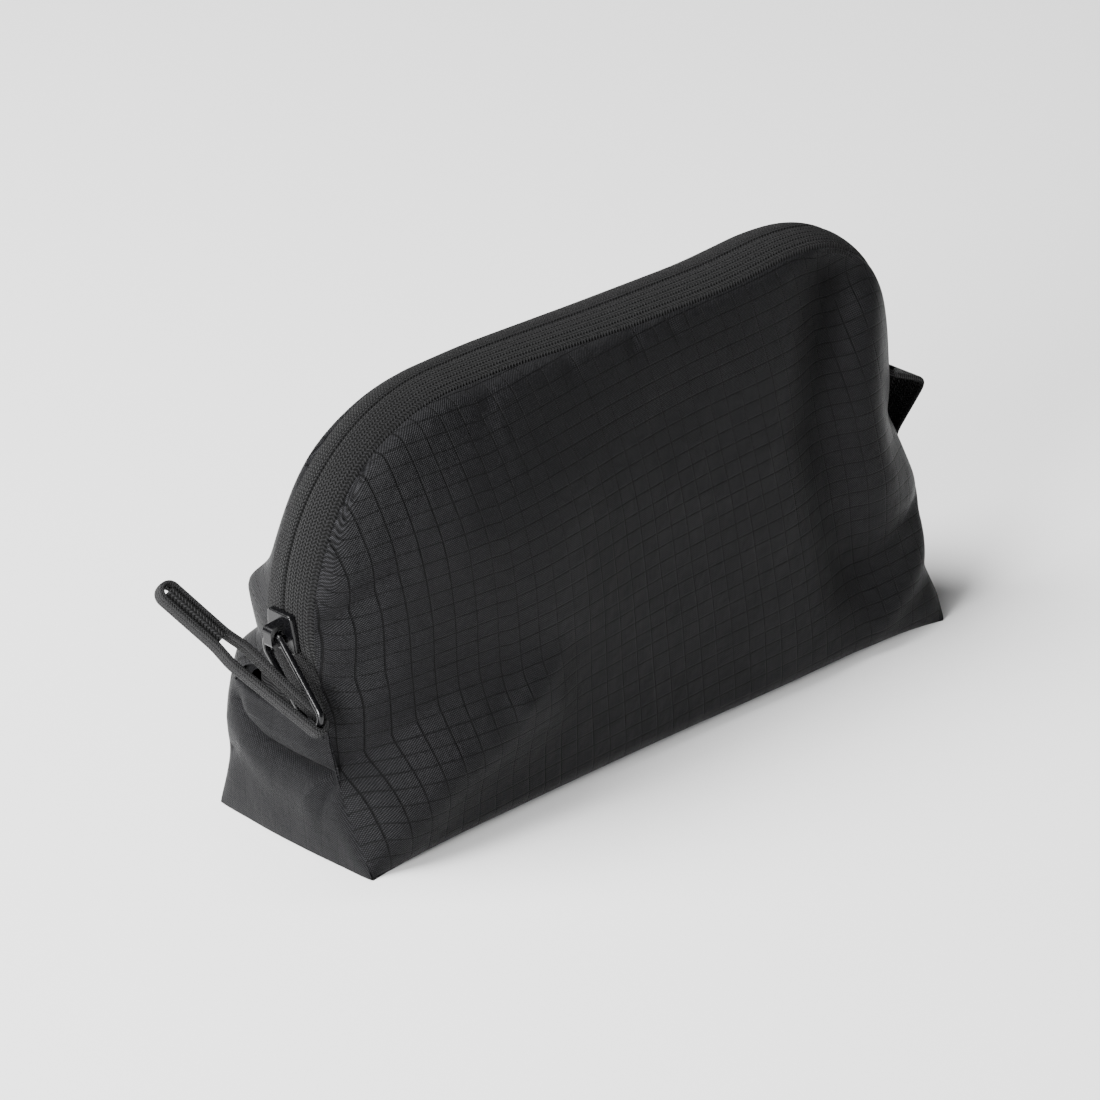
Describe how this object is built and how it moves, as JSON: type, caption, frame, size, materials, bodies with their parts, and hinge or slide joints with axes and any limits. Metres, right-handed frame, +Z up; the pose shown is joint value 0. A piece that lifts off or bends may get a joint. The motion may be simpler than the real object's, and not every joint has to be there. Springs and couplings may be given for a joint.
{
  "type": "toiletry bag",
  "caption": "Small soft zip pouch for toiletries with an arched top, boxed ends, a slider with a ring and pull tab, and a webbing loop to hang it by.",
  "frame": {"origin": "middle of the flat face that the bag stands on", "axes": "+X along the length, away from the slider's end; +Z up; the front is -Y"},
  "size_m": [0.2518, 0.058, 0.116],
  "materials": {
    "ripstop_nylon": "semi-matt woven ripstop",
    "lining_cloth": "matt coated cloth",
    "zip_tape": "coarse matt weave",
    "zip_coil": "satin",
    "black_metal": "glossy black",
    "webbing": "ribbed matt weave"
  },
  "bodies": {
    "bag": {"body_panel": "ripstop_nylon", "end_gusset_left": "ripstop_nylon", "end_gusset_right": "ripstop_nylon", "gusset_hem_left": "ripstop_nylon", "gusset_hem_right": "ripstop_nylon", "lining_body": "lining_cloth", "lining_end_left": "lining_cloth", "lining_end_right": "lining_cloth", "zip_tape_front": "zip_tape", "zip_tape_back": "zip_tape", "zip_coil_front": "zip_coil", "zip_coil_back": "zip_coil", "zip_top_stops": "black_metal", "zip_bottom_stop": "black_metal", "hang_loop": "webbing"},
    "zip_slider": {"slider": "black_metal"},
    "puller": {"puller_ring": "black_metal"},
    "pull_tab": {"pull_strap": "webbing", "pull_core": "webbing"}
  },
  "joints": [
    {"name": "slider_travel", "type": "hinge", "parent": "bag", "child": "zip_slider", "pos_m": [-0.057, 0, 0.066], "axis": [0, 1, 0], "range_deg": [0, 96]},
    {"name": "puller_swing", "type": "hinge", "parent": "zip_slider", "child": "puller", "pos_m": [-0.11046, 0, 0.06038], "axis": [0, 1, 0], "range_deg": [0, 50]},
    {"name": "pull_tab_swing", "type": "hinge", "parent": "puller", "child": "pull_tab", "pos_m": [-0.11113, -0.01599, 0.0411], "axis": [0.0247, -0.7071, 0.7067], "range_deg": [0, 110]}
  ]
}
